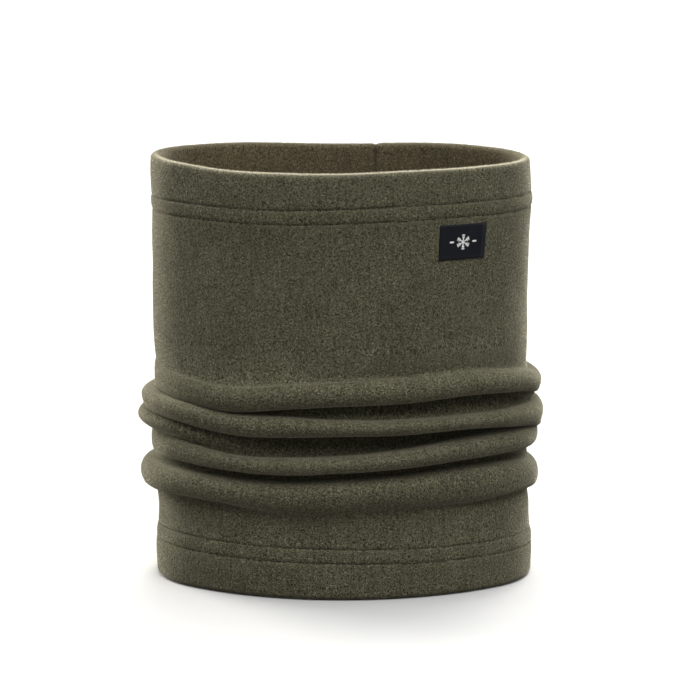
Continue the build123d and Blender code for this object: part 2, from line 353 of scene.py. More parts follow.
class Panel:
    """The sewn panel: its cloth's face and back as rows of points, from one raw edge to the other."""

    def __init__(self):
        self.along = column_places()
        angles = self.along / GIRTH * 360
        sine = np.sin(np.radians(angles))
        rim_lift, row_lift = (round_the_tube(lifts, angles) * MM for lifts in (RIM_LIFTS, TOP_ROW_LIFTS))
        pull = np.array([0.85 + 0.9 * noise.noise(Vector((place / PULL_LENGTH, 0.4, 0.7)))
                         for place in self.along])
        top, top_grooves = hem_lines(RIM_TOP, -1, TOP_ROWS, SPLINE_TOP, rim_lift, row_lift, pull)
        bottom, bottom_grooves = hem_lines(0, 1, BOTTOM_ROWS, SPLINE_BOTTOM, 0, 0, pull)
        folds = [(d * MM, z * MM, CLOTH) for d, z in spline_rows(fold_controls(angles), ROWS_PER_SPAN)]
        lines = [*top, *folds, *reversed(bottom)]
        last = len(lines) - 1
        bottom_grooves = {side: [last - row for row in rows] for side, rows in bottom_grooves.items()}
        self.grooves = {"top_hem": top_grooves, "bottom_hem": bottom_grooves}
        distance, height, thick = (np.array([line[k] * np.ones_like(sine) for line in lines])
                                   for k in range(3))
        self.folds = slice(len(top), len(top) + len(folds))
        self.rim_row = int(np.argmax(height.mean(axis=1)))
        self.foot_row = int(np.argmin(height.mean(axis=1)))
        upper, lower = slice(0, self.folds.start), slice(self.folds.stop, None)
        distance[upper] += (WAIST - (WAIST + 0.6) * smoothstep(125 * MM, 196 * MM, height[upper])) * MM
        distance[lower] += (-0.2 + (WAIST + 0.3) * smoothstep(14 * MM, 31 * MM, height[lower])) * MM
        for lean, end in ((LEFT_LEAN, np.clip(-sine, 0, 1) ** 2), (RIGHT_LEAN, np.clip(sine, 0, 1) ** 2)):
            distance += np.interp(height / MM, LEAN_HEIGHTS, lean) * end * MM
        sag = smoothstep(6 * MM, 16 * MM, height[lower]) * (1 - smoothstep(28 * MM, 34 * MM, height[lower]))
        height[lower] -= (0.1 + 1.3 * sine) * MM * sag
        self.soften(distance, height)
        self.height = height
        self.place(distance, height, thick)

    def soften(self, distance, height):
        """Small unevenness of soft cloth, the furrow of the back seam and its notch in the rims."""
        gap = from_seam(self.along)
        folds = distance[self.folds]
        folds += (WAIST * MM - folds) * 0.35 * bell(gap, 0, 15 * MM)
        point, _ = outline(self.along)
        wave, dent = np.zeros_like(distance), np.zeros_like(distance)
        for j, i in np.ndindex(distance.shape):
            place = Vector((*point[i], height[j, i]))
            wave[j, i] = noise.noise(place / WAVE_LENGTH)
            dent[j, i] = noise.noise(place / DENT_LENGTH + Vector((7, 3, 1)))
        standing = smoothstep(3 * MM, 12 * MM, height)
        distance += (WAVE_SIZE * wave + DENT_SIZE * dent) * standing
        folded = smoothstep(36 * MM, 50 * MM, height[self.folds])
        height[self.folds] += FOLD_WAVE_SIZE * wave[self.folds] * folded
        furrow = 1.25 * bell(gap, 0, 1.3 * MM) - 0.55 * bell(gap, -4.0 * MM, 3.2 * MM)
        row = np.arange(len(distance))[:, None]
        outside = smoothstep(self.rim_row - 5, self.rim_row + 5, row)
        outside = outside * (1 - smoothstep(self.foot_row - 5, self.foot_row + 5, row))
        distance -= furrow * MM * (1.6 * outside - 0.6)
        height -= NOTCH_DEPTH * bell(gap, 0, 1.5 * MM) * smoothstep(RIM_TOP - 8 * MM, RIM_TOP, height)

    def place(self, distance, height, thick):
        """Turns distances and heights into points of the cloth's face and back, with their normals."""
        point, normal = outline(self.along)
        run_d, run_z = np.gradient(distance, axis=0), np.gradient(height, axis=0)
        length = np.hypot(run_d, run_z)
        back_d, back_z = distance + run_z / length * thick, height - run_d / length * thick
        for _ in range(4):
            for line in (back_d, back_z):
                middle = line[self.folds]
                middle[1:-1] = (middle[:-2] + 2 * middle[1:-1] + middle[2:]) / 4

        def points(d, z):
            flat = point[None] + d[..., None] * normal[None]
            return np.concatenate([flat, z[..., None]], axis=-1)

        self.shade = self.overhung(distance, height)
        self.face, self.back = points(distance, height), points(back_d, back_z)
        self.cloth_length = np.concatenate([[0], np.cumsum(length.mean(axis=1)[1:])])
        self.face_out, self.back_out = self.outward(self.face), -self.outward(self.back)

    def overhung(self, distance, height):
        """How much each point lies in the shadow of the cloth above it, or in the back seam's furrow, from 0
        to 1; the fleece is painted this much darker as painted shade.
        """
        shade = np.zeros_like(distance)
        for back in range(1, 30):
            rise = height[:-back] - height[back:]
            step = distance[:-back] - distance[back:]
            cover = np.clip((step - 0.5 * rise - 1.5 * MM) / (6 * MM), 0, 1)
            cover *= smoothstep(-0.3 * MM, 0.6 * MM, rise) * (1 - smoothstep(6 * MM, 9 * MM, rise))
            shade[back:] = np.maximum(shade[back:], cover)
        shade[:self.folds.start] = shade[self.folds.stop:] = 0
        return np.maximum(shade, bell(from_seam(self.along), 0, 0.6 * MM))

    @staticmethod
    def outward(points):
        """Normals of a closed grid of points, on the side of the cloth's face."""
        down = np.gradient(points, axis=0)
        round_it = np.roll(points, -1, axis=1) - np.roll(points, 1, axis=1)
        normals = np.cross(down, round_it)
        return normals / np.linalg.norm(normals, axis=-1, keepdims=True)

    def column_at(self, along):
        """The fractional columns at these arc lengths."""
        places = np.concatenate([self.along - SEAM, [GIRTH]])
        return np.interp(np.mod(np.asarray(along) - SEAM, GIRTH), places, np.arange(len(places)))

    def row_at(self, height, along=SEAM):
        """The fractional rows of the tube's outside that stand at these heights, at these arc lengths."""
        rows = np.arange(self.rim_row + 1, self.foot_row)
        height, column = np.broadcast_arrays(np.asarray(height, float), self.column_at(along))
        found = np.empty(height.shape)
        for place in np.ndindex(height.shape):
            i = int(column[place])
            u = column[place] - i
            line = self.height[rows, i] * (1 - u) + self.height[rows, (i + 1) % len(self.along)] * u
            found[place] = np.interp(-height[place], -np.minimum.accumulate(line), rows)
        return found

    def at(self, along, row, lift=0.0, back=False):
        """Points that stand lift above the cloth's face, or its back, at these arc lengths and rows."""
        points, normals = (self.back, self.back_out) if back else (self.face, self.face_out)
        column, row = np.broadcast_arrays(self.column_at(along), np.asarray(row, float))
        normal = between(normals, row, column, closed=True)
        normal = normal / np.linalg.norm(normal, axis=-1, keepdims=True)
        return between(points, row, column, closed=True) + normal * np.asarray(lift)[..., None]


# ---- mesh making
def make_object(name, vertices, faces, material, smooth=True):
    """A mesh object from vertices and faces."""
    mesh = bpy.data.meshes.new(name)
    mesh.from_pydata([tuple(v) for v in vertices], [], [tuple(f) for f in faces])
    mesh.polygons.foreach_set("use_smooth", [smooth] * len(mesh.polygons))
    mesh.materials.append(material)
    piece = bpy.data.objects.new(name, mesh)
    bpy.context.collection.objects.link(piece)
    return piece


def quads(first, rows, columns, closed=True, flip=False):
    """Faces of a grid of vertices, numbered row by row; closed joins its last column to its first."""
    faces = []
    for j in range(rows - 1):
        for i in range(columns if closed else columns - 1):
            here, below, beside = first + j * columns, first + (j + 1) * columns, (i + 1) % columns
            face = [here + i, below + i, below + beside, here + beside]
            faces.append(face[::-1] if flip else face)
    return faces


def walls(edge, offset, turned=False):
    """Faces from a closed line of vertices to the same line on the sheet's other side."""
    faces = [[here, there, there + offset, here + offset] for here, there in zip(edge, edge[1:] + edge[:1])]
    return [face[::-1] for face in faces] if turned else faces


def tubes(name, paths, radius, material, sides=6):
    """Closed round threads along these paths, in one piece, a little thinner at their two ends."""
    vertices, faces = [], []
    for path in paths:
        path = np.asarray(path)
        run = np.gradient(path, axis=0)
        run /= np.linalg.norm(run, axis=1, keepdims=True)
        across = np.cross(run[0], (0.31, 0.17, 0.94))
        first = len(vertices)
        for k, (place, ahead) in enumerate(zip(path, run)):
            across = across - ahead * across.dot(ahead)
            across /= np.linalg.norm(across)
            other = np.cross(ahead, across)
            size = radius * (0.55 if k in (0, len(path) - 1) else 1)
            for turn in np.arange(sides) * 2 * math.pi / sides:
                vertices.append(place + size * (math.cos(turn) * across + math.sin(turn) * other))
        faces += quads(first, len(path), sides, flip=True)
        faces += [[*range(first, first + sides)][::-1], [*range(len(vertices) - sides, len(vertices))]]
    return make_object(name, vertices, faces, material)


def slab(name, top, bottom, material, map_size):
    """A thin closed patch between two grids of points, with a map of this size."""
    rows, columns = top.shape[:2]
    vertices = np.concatenate([top.reshape(-1, 3), bottom.reshape(-1, 3)])
    count = rows * columns
    faces = quads(0, rows, columns, closed=False)
    faces += quads(count, rows, columns, closed=False, flip=True)
    edge = [*range(columns)] + [j * columns + columns - 1 for j in range(1, rows)]
    edge += [(rows - 1) * columns + i for i in range(columns - 2, -1, -1)]
    edge += [j * columns for j in range(rows - 2, 0, -1)]
    piece = make_object(name, vertices, faces + walls(edge, count), material)
    u, v = np.meshgrid(np.linspace(0, map_size[0], columns), np.linspace(0, map_size[1], rows))
    set_map(piece, np.tile(np.stack([u, v], axis=-1).reshape(-1, 2), (2, 1)))
    return piece


def set_map(piece, by_vertex):
    """Gives a piece a UV map in metres of cloth, from one place for each vertex."""
    layer = piece.data.uv_layers.new(name="cloth")
    index = np.zeros(len(piece.data.loops), int)
    piece.data.loops.foreach_get("vertex_index", index)
    layer.data.foreach_set("uv", np.asarray(by_vertex, float)[index].ravel())


def set_values(piece, name, by_vertex):
    """Gives a piece a named value at each vertex, for its material."""
    piece.data.attributes.new(name, "FLOAT", "POINT").data.foreach_set("value", by_vertex)


# ---- materials
class Surface:
    """A node material that grows node by node. Inputs are given as sockets or as plain values."""

    def __init__(self, name, **values):
        self.material = bpy.data.materials.new(name)
        self.material.use_nodes = True
        self.nodes, self.links = self.material.node_tree.nodes, self.material.node_tree.links
        self.shader = self.nodes["Principled BSDF"].inputs
        for socket, value in values.items():
            self.feed(self.shader[socket.replace("_", " ")], value)

    def feed(self, socket, value):
        """Links or sets one input. A colour is given without its alpha."""
        if isinstance(value, bpy.types.NodeSocket):
            self.links.new(value, socket)
        else:
            socket.default_value = (*value, 1) if socket.type == "RGBA" else value

    def add(self, kind, output, **settings):
        """The output of a new node. Settings are its inputs, or else its own properties."""
        node = self.nodes.new("ShaderNode" + kind)
        for name, value in settings.items():
            socket = name.replace("_", " ")
            if socket in node.inputs:
                self.feed(node.inputs[socket], value)
            else:
                setattr(node, name, value)
        return node.outputs[output]

    def value(self, name):
        """A value that the piece holds at each vertex."""
        return self.add("Attribute", "Fac", attribute_name=name)

    def noise(self, place, stretch, scale, detail=2.0, rough=0.5, distortion=0.0):
        """A noise pattern on a map, stretched by (u, v)."""
        place = self.add("Mapping", "Vector", Vector=place, Scale=(*stretch, 1))
        return self.add("TexNoise", "Fac", Vector=place, Scale=scale, Detail=detail, Roughness=rough,
                        Distortion=distortion)

    def mix(self, share, low, high, blend_type="MIX"):
        """A colour mix."""
        mix = self.nodes.new("ShaderNodeMix")
        mix.data_type, mix.blend_type = "RGBA", blend_type
        for number, value in ((0, share), (6, low), (7, high)):
            self.feed(mix.inputs[number], value)
        return mix.outputs[2]

    def range(self, value, low, high, to_low=0.0, to_high=1.0):
        """Maps a value's range onto another, clamped."""
        return self.add("MapRange", "Result", Value=value, From_Min=low, From_Max=high, To_Min=to_low,
                        To_Max=to_high)

    def bump(self, height, strength, distance, **before):
        """A bump, on top of an earlier one if Normal is given."""
        return self.add("Bump", "Normal", Height=height, Strength=strength, Distance=distance, **before)

    def finish(self, colour, **relief):
        """Gives the shader its colour, and its relief if Normal is given."""
        for socket, value in {"Base Color": colour, **relief}.items():
            self.feed(self.shader[socket], value)
        return self.material


FIBRE_DARK, FIBRE_MIDDLE, FIBRE_LIGHT = (0.009, 0.0085, 0.004), (0.067, 0.0635, 0.037), (0.225, 0.212, 0.143)
INSIDE_LIGHT_TINT, INSIDE_FLAT = (1.20, 1.01, 0.905), (0.076, 0.063, 0.039)
POCKET_PAINTED_SHADE, CREST_HIGHLIGHT = (0.004, 0.004, 0.0025), (0.36, 0.335, 0.25)
NAP_DULL, NAP_LIT_COLOUR = (0.12, 0.113, 0.075), (0.80, 0.75, 0.60)


def fleece_material():
    """Dark olive heather microfleece: curled fibres in three tones, soft clouds, a nap and a pale sheen, with
    painted shade in the pockets, a painted rim highlight and painted bounce light inside.
    """
    cloth = Surface("fleece", Roughness=0.95, Sheen_Weight=0.32, Sheen_Roughness=0.3,
                    Sheen_Tint=(1.0, 0.93, 0.70), Specular_IOR_Level=0.1)
    place = cloth.add("UVMap", "UV", uv_map="cloth")
    pile = cloth.noise(place, (1, 1), 1200, 2, 0.6, 0.9)
    curls = cloth.noise(place, (0.9, 1), 1500, 2, 0.6, 1.6)
    grain = cloth.noise(place, (1, 0.8), 3400, 2, 0.6)
    clouds = cloth.noise(place, (1, 1), 42, 3, 0.55)
    wales = cloth.noise(place, (1, 0.12), 620, 2, 0.5)
    colour = cloth.mix(cloth.range(pile, 0.41, 0.56), FIBRE_DARK, FIBRE_MIDDLE)
    colour = cloth.mix(cloth.range(curls, 0.52, 0.68, 0, 0.9), colour, FIBRE_LIGHT)
    colour = cloth.mix(cloth.range(grain, 0.55, 0.7, 0, 0.5), colour, FIBRE_LIGHT)
    colour = cloth.mix(cloth.range(wales, 0.45, 0.75, 0, 0.35), colour, FIBRE_DARK)
    colour = cloth.mix(1.0, colour, cloth.range(clouds, 0.3, 0.7, 0.90, 1.08), "MULTIPLY")
    # Painted light: the inside of the tube is tinted browner and a little brighter, for light bouncing round
    # its hollow, and its texture made a little flatter.
    bounce_lit = cloth.mix(0.25, cloth.mix(1.0, colour, INSIDE_LIGHT_TINT, "MULTIPLY"), INSIDE_FLAT)
    colour = cloth.mix(cloth.range(cloth.value("inside"), 0, 1, 0, 0.8), colour, bounce_lit)
    # Painted shade: darker in the fold pockets and the seam's furrow, by the shade value.
    colour = cloth.mix(cloth.range(cloth.value("shade"), 0, 1, 0, 0.45), colour, POCKET_PAINTED_SHADE)
    # Painted highlight: a pale cream line along the rim's crest, where light from behind catches the fuzz.
    colour = cloth.mix(cloth.range(cloth.value("crest"), 0, 1, 0, 0.5), colour, CREST_HIGHLIGHT)
    nap = cloth.bump(pile, 0.8, 0.8 * MM)
    nap = cloth.bump(curls, 0.5, 0.4 * MM, Normal=nap)
    return cloth.finish(colour, Normal=cloth.bump(grain, 0.35, 0.2 * MM, Normal=nap))


def nap_material():
    """Loose fibre ends of the nap: dull on the walls and pale where light comes through them at the edges."""
    fibres = Surface("fleece_nap", Roughness=0.9, Specular_IOR_Level=0.1)
    return fibres.finish(fibres.mix(fibres.value("pale"), NAP_DULL, NAP_LIT_COLOUR))


def thread_material(name, colour, sheen=0.0, roughness=0.75):
    """Spun polyester thread: one colour with fine darker plies."""
    thread = Surface(name, Roughness=roughness, Sheen_Weight=sheen, Specular_IOR_Level=0.15)
    plies = thread.noise(thread.add("TexCoord", "Object"), (1, 1), 2600)
    dark = tuple(0.62 * channel for channel in colour)
    colour = thread.mix(thread.range(plies, 0.35, 0.6), dark, colour)
    return thread.finish(colour, Normal=thread.bump(plies, 0.4, 0.08 * MM))


RIB_PITCH = 0.36 * MM


def satin_material(name, colour, warp, roughness, gloss):
    """Woven satin tape: fine weft ribs across it and short warp floats along it."""
    satin = Surface(name, Roughness=roughness, Anisotropic=0.5, Specular_IOR_Level=gloss)
    place = satin.add("UVMap", "UV", uv_map="cloth")
    ribs = satin.add("TexWave", "Color", bands_direction="Y", Vector=place, Scale=math.pi / 10 / RIB_PITCH)
    weave = satin.mix(0.5, ribs, satin.noise(place, (1, 0.2), 4200, 1, 0.4))
    height = satin.add("RGBToBW", "Val", Color=weave)
    colour = satin.mix(satin.range(height, 0.3, 0.7), colour, warp)
    return satin.finish(colour, Normal=satin.bump(height, 0.5, 0.12 * MM))


FLEECE = fleece_material()
NAP = nap_material()
SEWING_THREAD = thread_material("sewing_thread", (0.022, 0.0205, 0.0125))
LABEL_THREAD = thread_material("label_thread", (0.012, 0.012, 0.014))
PALE_YARN = thread_material("pale_yarn", (0.80, 0.80, 0.78), 0.1, 0.5)
LABEL_SATIN = satin_material("label_satin", (0.0035, 0.004, 0.006), (0.009, 0.0098, 0.0135), 0.5, 0.12)
CARE_SATIN = satin_material("care_satin", (0.62, 0.61, 0.58), (0.76, 0.75, 0.72), 0.35, 0.5)

# ---- the cloth panel
panel = Panel()

# How much of the painted highlight on the rim's crest each column shows: all of it at the front and a fifth
# at the back.
RIM_HIGHLIGHT_SHARE = 0.2 + 0.8 * smoothstep(-0.5, 0.8, -outline(panel.along)[1][:, 1])


def across_the_folds(piece):
    """Bakes the placement of a piece that crosses the folds into its mesh."""
    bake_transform(piece)


def build_panel():
    """One closed sheet of cloth: its face, its back and the two raw edges."""
    rows, count = panel.face.shape[:2]
    total = rows * count
    vertices = np.concatenate([panel.face.reshape(-1, 3), panel.back.reshape(-1, 3)])
    faces = quads(0, rows, count) + quads(total, rows, count, flip=True)
    faces += walls([*range(count)], total) + walls([*range(total - count, total)], total, turned=True)
    piece = make_object("fleece_panel", vertices, faces, FLEECE)
    u, v = np.meshgrid(panel.along - SEAM, panel.cloth_length)
    set_map(piece, np.tile(np.stack([u, v], axis=-1).reshape(-1, 2), (2, 1)))
    wrap_map(piece)
    inside = np.ones(2 * total)
    inside[(panel.rim_row + 1) * count:panel.foot_row * count] = 0
    set_values(piece, "inside", inside)
    # Painted shade for the fold pockets and the seam's furrow, on the face only.
    set_values(piece, "shade", np.concatenate([panel.shade.ravel(), 0 * panel.shade.ravel()]))
    # A painted highlight along the rim's crest, strongest at the front.
    from_rim = np.tile(np.repeat(panel.cloth_length - panel.cloth_length[panel.rim_row], count), 2)
    set_values(piece, "crest", bell(from_rim, 0.2 * MM, 1.1 * MM) * np.tile(RIM_HIGHLIGHT_SHARE, 2 * rows))
    return piece


def wrap_map(piece):
    """Carries the map past its last column, so that the column beside the seam isn't squeezed."""
    layer = piece.data.uv_layers["cloth"]
    places = np.zeros(2 * len(piece.data.loops))
    layer.data.foreach_get("uv", places)
    places = places.reshape(-1, 2)
    for polygon in piece.data.polygons:
        u = places[polygon.loop_start:polygon.loop_start + polygon.loop_total, 0]
        if u.max() - u.min() > GIRTH / 2:
            u[u < GIRTH / 2] += GIRTH
    layer.data.foreach_set("uv", places.ravel())


fleece = build_panel()
across_the_folds(fleece)
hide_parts("top_hem", "upper_tube", "gathered_folds", "lower_tube", "bottom_hem")

# ---- loose fibre ends of the brushed nap
NAP_FIBRES = 49500
NAP_SEED = 11

# How densely the fibre ends stand, as a ratio, and how pale they are painted as light catches them: on the
# rim, foot, ends and fold lips.
NAP_DENSITIES, NAP_LIT_SHARES = (12, 1.6, 0.9, 1.1), (1, 0.3, 0.8, 0.22)
NAP_LEAN = (15, 75)
NAP_LENGTH, NAP_WIDTH = (0.35, 1.0), (0.045, 0.075)
NAP_ROOT = 0.12 * MM


def nap_density():
    """How densely the fibre ends stand at each row and column, and how pale they are painted where light
    catches them.
    """
    from_rim = abs(panel.cloth_length - panel.cloth_length[panel.rim_row] - 0.4 * MM)[:, None]
    from_foot = abs(panel.cloth_length - panel.cloth_length[panel.foot_row])[:, None]
    rows = np.arange(len(panel.face))[:, None]
    outer = (rows > panel.rim_row) & (rows < panel.foot_row)
    ends = smoothstep(0.72, 0.97, abs(panel.face_out[..., 0])) * outer
    rim, foot = bell(from_rim, 0, 2.0 * MM), bell(from_foot, 0, 2.0 * MM)
    reach = np.linalg.norm(panel.face[..., :2] - outline(panel.along)[0], axis=-1)
    lips = bell(panel.face_out[..., 2], -0.45, 0.3) * smoothstep(3 * MM, 4.5 * MM, reach)
    lips = lips * outer * (panel.shade < 0.15)
    density = sum(share * place for share, place in zip(NAP_DENSITIES, (rim, foot, ends, lips)))
    # Painted light: paler where light catches the fibre ends.
    pale = sum(share * place for share, place in zip(NAP_LIT_SHARES, (rim * RIM_HIGHLIGHT_SHARE, foot, ends, lips)))
    return density, np.clip(pale, 0, 1)


def fleece_nap():
    """Closed spikes as thin as a tuft of fibres, leaning every way, on the rim, foot, ends and fold lips."""
    rng = np.random.default_rng(NAP_SEED)
    density, pale = nap_density()
    face = panel.face
    area = np.linalg.norm(np.cross(np.gradient(face, axis=0), np.gradient(face, axis=1)), axis=-1)
    area[:, [0, -1]] = 0
    chance = np.cumsum((density * area)[:-1].ravel())
    cell = np.searchsorted(chance, rng.random(NAP_FIBRES) * chance[-1])
    j, i = np.divmod(cell, face.shape[1])
    next_i = (i + 1) % face.shape[1]
    u, v = rng.random((2, NAP_FIBRES, 1))
    above, below = (face[k, i] * (1 - u) + face[k, next_i] * u for k in (j, j + 1))
    root = above * (1 - v) + below * v
    normal = panel.face_out[j, i]
    across = np.cross(normal, rng.normal(size=(NAP_FIBRES, 3)))
    across /= np.linalg.norm(across, axis=1, keepdims=True)
    other = np.cross(normal, across)
    lean = np.radians(rng.uniform(*NAP_LEAN, (NAP_FIBRES, 1)))
    length = rng.uniform(*NAP_LENGTH, (NAP_FIBRES, 1)) * MM
    tip = root + length * (np.cos(lean) * normal + np.sin(lean) * across)
    tip[:, 2] = np.maximum(tip[:, 2], 0.1 * MM)
    width = rng.uniform(*NAP_WIDTH, (NAP_FIBRES, 1)) * MM
    foot = root - NAP_ROOT * normal
    corners = [foot + width * (math.cos(turn) * across + math.sin(turn) * other)
               for turn in (0, 2 * math.pi / 3, 4 * math.pi / 3)]
    vertices = np.stack([*corners, tip], axis=1).reshape(-1, 3)
    first = 4 * np.arange(NAP_FIBRES)[:, None, None]
    faces = (first + np.array([[0, 2, 1], [0, 1, 3], [1, 2, 3], [2, 0, 3]])).reshape(-1, 3)
    piece = make_object("fleece_nap", vertices, faces, NAP, smooth=False)
    # Painted light: how pale each fibre end looks where light catches it.
    set_values(piece, "pale", np.repeat(pale[j, i], 4))
    across_the_folds(piece)
    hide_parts("upper_tube")


fleece_nap()

# ---- coverstitch of the two hems
STITCH, STITCH_GAP = 3.0 * MM, 0.7 * MM
STITCHES = round(GIRTH / STITCH)
NEEDLE_RADIUS, LOOPER_RADIUS = 0.24 * MM, 0.19 * MM


def stitch_line(along_from, along_to, row):
    """One needle stitch: it comes up, lies in the pile and goes down again, some deeper than others."""
    share = np.array([0, 0.06, 0.2, 0.5, 0.8, 0.94, 1])
    sunk = 0.16 + 0.5 * noise.noise(Vector((along_from / (6 * MM), row, 2.5)))
    lift = np.array([-0.75, -0.15, 0.10, 0.14, 0.10, -0.15, -0.75]) - max(0, sunk)
    return panel.at(along_from + (along_to - along_from) * share, row, lift * MM)


def needle_rows(nodes, rows, body):
    """The needle stitches of each row of one hem."""
    for node, row in zip(nodes, rows):
        starts = np.arange(STITCHES) * GIRTH / STITCHES
        paths = [stitch_line(start, start + STITCH - STITCH_GAP, row) for start in starts]
        piece = tubes(node.replace("_thread", "_stitches"), paths, NEEDLE_RADIUS, SEWING_THREAD)
        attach(piece, body)
        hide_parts(node)


def looper_lattice(node, first_row, second_row, body):
    """The looper thread inside a hem: two zigzags that cross between the needle rows."""
    paths = []
    steps = np.arange(4 * STITCHES + 1)
    for lean in (0, 0.5):
        along = (steps / 4 + lean) * GIRTH / STITCHES
        side = np.array([0, 1, 1, 0])[steps % 4]
        lift = np.where(steps % 2, 0.20, 0.34) * MM + lean * 0.2 * MM
        row = first_row + (second_row - first_row) * side
        paths.append(panel.at(along, row, lift))
    piece = tubes(node.replace("_thread", "_lattice"), paths, LOOPER_RADIUS, SEWING_THREAD, sides=5)
    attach(piece, body)
    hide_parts(node)


def hem_stitching(name, body):
    """Both needle rows and the looper of one hem."""
    nodes = [f"{name}_first_needle_thread", f"{name}_second_needle_thread"]
    needle_rows(nodes, panel.grooves[name]["outer"], body)
    looper_lattice(f"{name}_looper_thread", *panel.grooves[name]["inner"], body)


hem_stitching("top_hem", UPPER)
hem_stitching("bottom_hem", LOWER)

# ---- the back seam, inside
ALLOWANCE_WIDTH, ALLOWANCE_DEPTH = 6.0 * MM, 3.0 * MM
OVERLOCK_PITCH = 2.6 * MM
OVERLOCK_NEEDLE_RADIUS, OVERLOCK_LOOPER_RADIUS = 0.2 * MM, 0.17 * MM


def seam_allowance():
    """The two raw edges of the panel at the back seam, lying together against the inside of the tube."""
    rows = np.arange(panel.row_at(RAW_TOP - 0.5 * MM), panel.row_at(RAW_BOTTOM + 0.5 * MM))
    depth, start = ALLOWANCE_DEPTH, -0.6 * MM
    end = start + ALLOWANCE_WIDTH
    section = [(start, 0.1 * MM), (start, 0.7 * depth), (start + 0.6 * MM, depth),
               (start + 0.5 * ALLOWANCE_WIDTH, 1.04 * depth), (end - 0.5 * MM, depth), (end, 0.78 * depth),
               (end, 0.58 * depth), (end - 0.5 * MM, 0.5 * depth), (end, 0.42 * depth), (end, 0.1 * MM)]
    run = np.minimum(rows - rows[0], rows[-1] - rows)
    tucked = 1 - 0.3 * bell(run, 0, 4.0)
    grid = np.array([panel.at(SEAM - across, rows, lift * tucked, back=True) for across, lift in section])
    for _ in range(6):
        grid[:, 1:-1] = (grid[:, :-2] + 2 * grid[:, 1:-1] + grid[:, 2:]) / 4
    return grid


def build_allowance(grid):
    """A closed strip through the sections of the seam allowance."""
    sides, rows = grid.shape[:2]
    vertices = grid.transpose(1, 0, 2).reshape(-1, 3)
    faces = quads(0, rows, sides)
    faces += [[*range(sides)], [*range((rows - 1) * sides, rows * sides)][::-1]]
    piece = make_object("back_seam_allowance", vertices, faces, FLEECE)
    u, v = np.meshgrid(np.linspace(0, ALLOWANCE_WIDTH, sides), np.arange(rows) * 1.2 * MM)
    set_map(piece, np.stack([u, v], axis=-1).reshape(-1, 2))
    for name, value in (("inside", 0.5), ("crest", 0.0), ("shade", 0.0)):
        set_values(piece, name, np.full(len(vertices), value))
    across_the_folds(piece)
    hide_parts("upper_tube")


allowance = seam_allowance()
allowance_run = np.concatenate([[0], np.cumsum(np.linalg.norm(np.diff(allowance[4], axis=0), axis=1))])
build_allowance(allowance)


def along_allowance(side, places):
    """Points at these lengths along the allowance; side counts the corners of its section."""
    row = np.interp(places, allowance_run, np.arange(allowance.shape[1]))
    return between(allowance, np.broadcast_to(side, row.shape), row)


def overlock():
    """The seam's needle row and the looper threads that wrap its raw edges."""
    length = allowance_run[-1]
    count = int(length / OVERLOCK_PITCH)
    starts = (np.arange(count) + 0.2) * length / count
    inward = -outline(np.array([SEAM]))[1][0]
    lift = np.array([*inward, 0])
    rise = lift * (np.array([-0.4, 0.14, 0.2, 0.14, -0.4]) * MM)[:, None]
    stitch = np.linspace(0, 1, 5) * (OVERLOCK_PITCH - 0.6 * MM)
    needle = [along_allowance(1.6, start + stitch) + rise for start in starts]
    piece = tubes("back_seam_needle_stitches", needle, OVERLOCK_NEEDLE_RADIUS, SEWING_THREAD)
    across_the_folds(piece)
    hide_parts("upper_seam_needle_thread", "folds_seam_needle_thread", "lower_seam_needle_thread")
    # One loop: the section's corners that it passes, and where along the pitch it passes them.
    sides = np.array([1.7, 2.4, 3.2, 4.0, 4.8, 5.4, 6.0, 8.0, 8.9, 8.0, 6.0, 5.2, 4.6, 3.8, 3.0, 2.2])
    shares = np.array([0, 0.05, 0.12, 0.2, 0.28, 0.34, 0.4, 0.46,
                       0.5, 0.54, 0.6, 0.66, 0.74, 0.82, 0.9, 0.96])
    side = np.tile(sides, count)
    place = (starts[:, None] + shares[None] * OVERLOCK_PITCH).ravel()
    line = along_allowance(side, place)
    edge_side = np.clip((side - 5) / 2, 0, 1)[:, None]
    sideways = np.array([inward[1], -inward[0], 0])
    line = line + lift * 0.2 * MM * (1 - edge_side) + sideways * 0.2 * MM * edge_side
    piece = tubes("back_seam_looper_loops", [line], OVERLOCK_LOOPER_RADIUS, SEWING_THREAD, sides=5)
    across_the_folds(piece)
    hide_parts("upper_seam_looper_threads", "folds_seam_looper_threads", "lower_seam_looper_threads")


overlock()

# ---- the woven label
label_low, label_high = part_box("woven_label")
LABEL_ALONG = [along_at_x(label_low.x), along_at_x(label_high.x)]
LABEL_WIDTH, LABEL_TALL = 0.975 * (LABEL_ALONG[1] - LABEL_ALONG[0]), label_high.z - label_low.z
LABEL_THICK, LABEL_LEAN = 0.6 * MM, 0.04
MARK_PITCH, MARK_STEP, MARK_FLOAT_RADIUS = 0.27 * MM, 0.09 * MM, 0.15 * MM
LABEL_STITCH, LABEL_STITCH_GAP, LABEL_STITCH_RADIUS = 2.1 * MM, 0.5 * MM, 0.17 * MM


def on_label(u, v, lift):
    """Points above the panel in the label's own frame: u across and v up, from its middle."""
    along = sum(LABEL_ALONG) / 2 + u + LABEL_LEAN * v
    height = (label_low.z + label_high.z) / 2 + v
    return panel.at(along, panel.row_at(height, along), lift)


